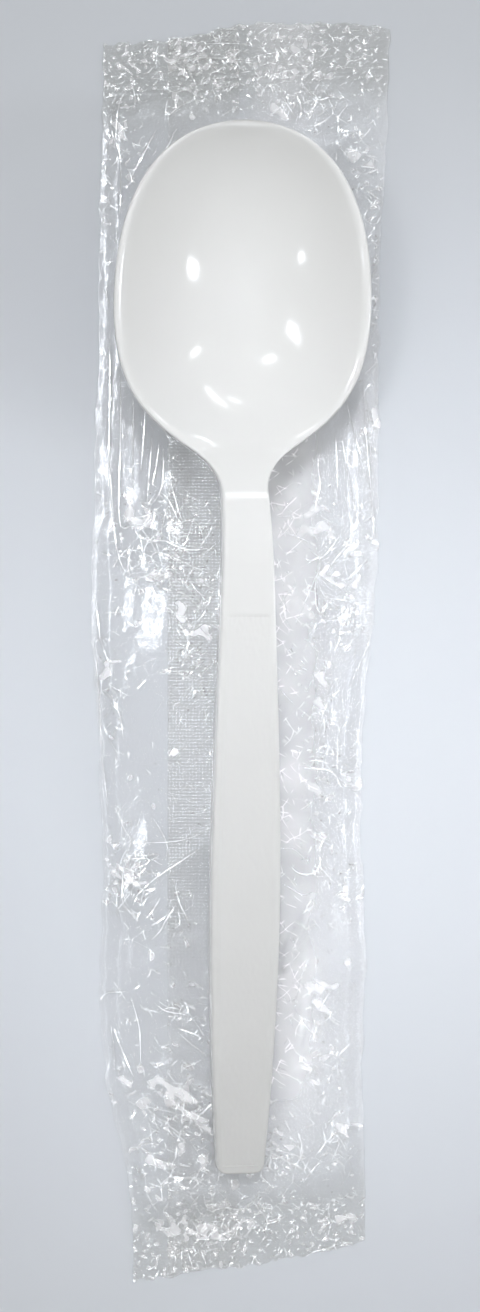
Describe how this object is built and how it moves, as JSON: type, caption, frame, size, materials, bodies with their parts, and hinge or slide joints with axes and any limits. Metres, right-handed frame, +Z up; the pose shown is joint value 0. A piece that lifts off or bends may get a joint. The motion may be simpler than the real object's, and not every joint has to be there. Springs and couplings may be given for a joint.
{
  "type": "plastic soup spoon with film wrapper",
  "caption": "White moulded soup spoon with a deep oval bowl and a grained handle panel, lying on the emptied clear film sleeve it was packed in.",
  "frame": {"origin": "on the table, under the middle of the film sleeve", "axes": "+Z up from the table, +Y along the sleeve from the spoon's handle to its bowl, +X to the right seen from above with the bowl away"},
  "size_m": [0.0394, 0.17, 0.0156],
  "materials": {
    "white_plastic": "glossy moulded white, with a fine pebble grain on the handle's panel",
    "clear_film": "clear glossy crinkled film"
  },
  "bodies": {
    "root": {"soup_spoon": "white_plastic", "film_wrapper": "clear_film"}
  },
  "joints": []
}
